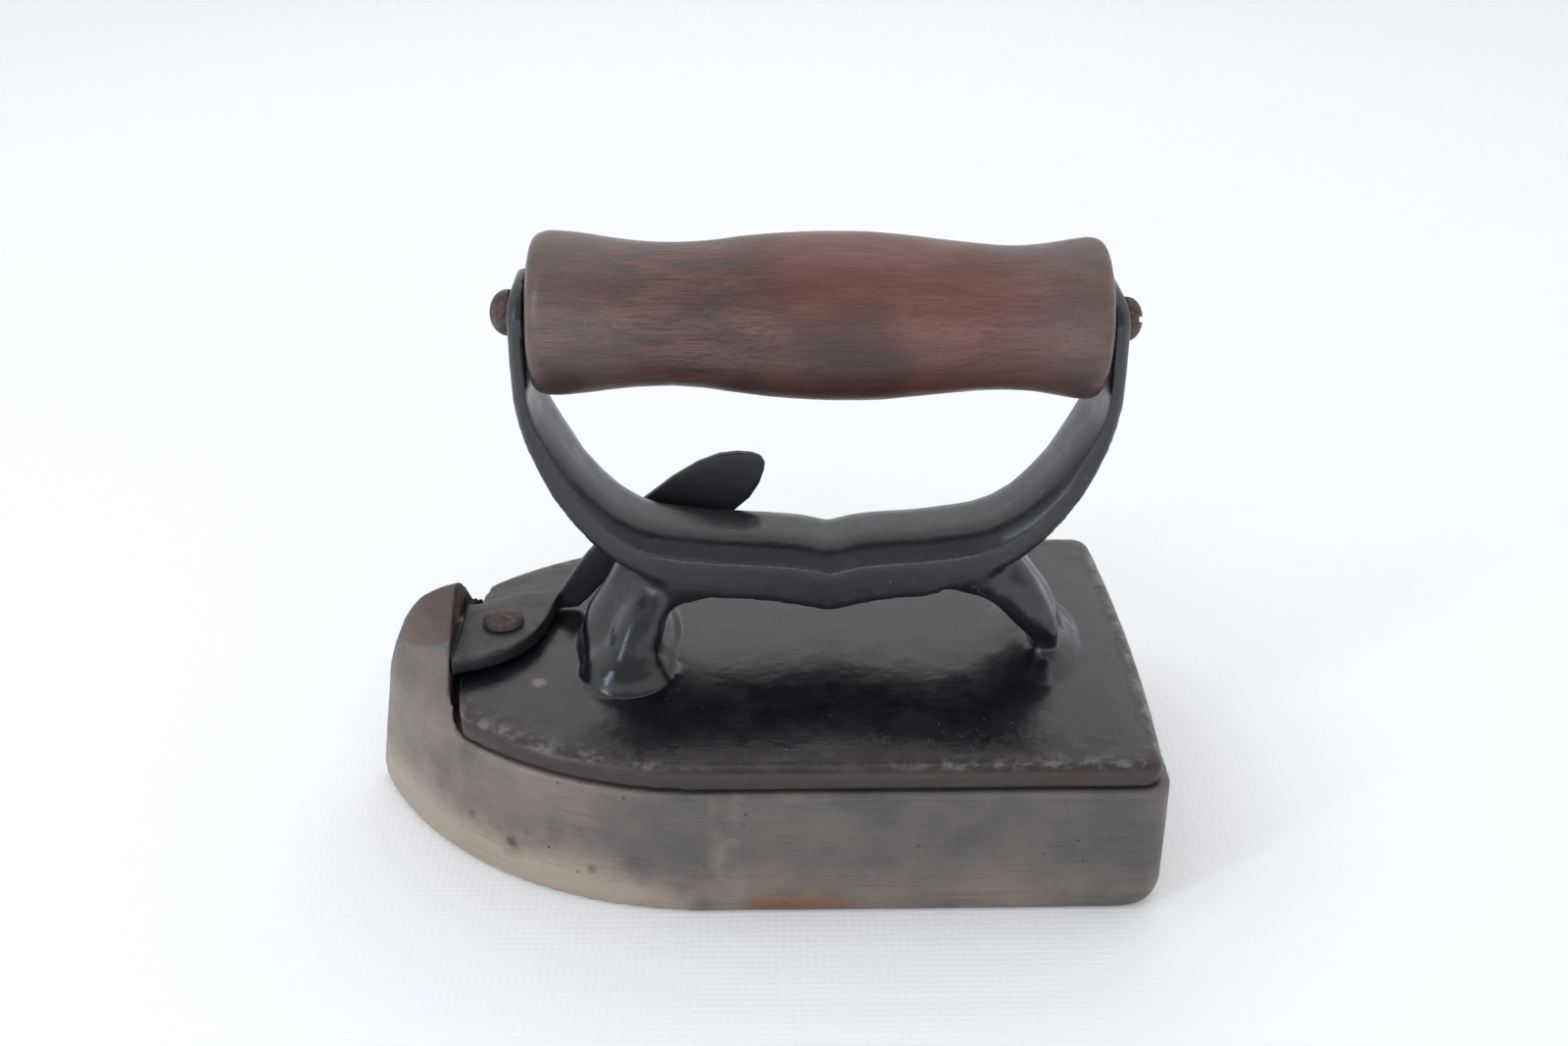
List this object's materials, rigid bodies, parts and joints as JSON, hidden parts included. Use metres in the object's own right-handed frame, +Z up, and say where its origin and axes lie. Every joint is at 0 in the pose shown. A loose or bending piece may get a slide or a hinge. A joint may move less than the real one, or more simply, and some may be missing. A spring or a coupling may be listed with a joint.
{
  "type": "slug iron",
  "caption": "Antique cast-iron slug iron: pointed sole box with a nose hook, lift-off lid with yoke handle and turned wooden grip, swivel latch lever and loose heating slug.",
  "frame": {"origin": "on the flat of the sole, under the middle of the iron's box", "axes": "+X towards the square heel and -X towards the nose, +Z up, +Y towards the side that carries the lever's leaf"},
  "size_m": [0.171, 0.1032, 0.1304],
  "materials": {
    "ground_cast_iron": "ground bare iron, worn and stained",
    "fire_scaled_iron": "rough, scaled by fire",
    "black_japanned_iron": "old black enamel, semi-gloss, worn at the edges",
    "dark_hardwood": "turned hardwood, hand-polished satin",
    "rusty_steel": "brown rust patina",
    "black_forged_iron": "blackened forging, satin"
  },
  "bodies": {
    "body": {"body": "ground_cast_iron"},
    "lid": {"lid": "black_japanned_iron", "grip": "dark_hardwood", "grip_rod": "rusty_steel", "cap_nut": "rusty_steel", "latch_rivet": "rusty_steel", "rivet_washer": "rusty_steel"},
    "latch": {"latch_lever": "black_forged_iron"},
    "slug": {"slug": "fire_scaled_iron"}
  },
  "joints": [
    {"name": "lid_lift", "type": "slide", "parent": "body", "child": "lid", "axis": [0, 0, 1], "range_m": [0, 0.08]},
    {"name": "slug_lift", "type": "slide", "parent": "body", "child": "slug", "axis": [0, 0, 1], "range_m": [0, 0.032]},
    {"name": "latch_swivel", "type": "hinge", "parent": "lid", "child": "latch", "pos_m": [-0.0556, 0, 0.0365], "axis": [0, 0, 1], "range_deg": [0, 45]}
  ],
  "couplings": [
    {"joint": "slug_lift", "follows": "lid_lift", "ratio": 0.4}
  ]
}
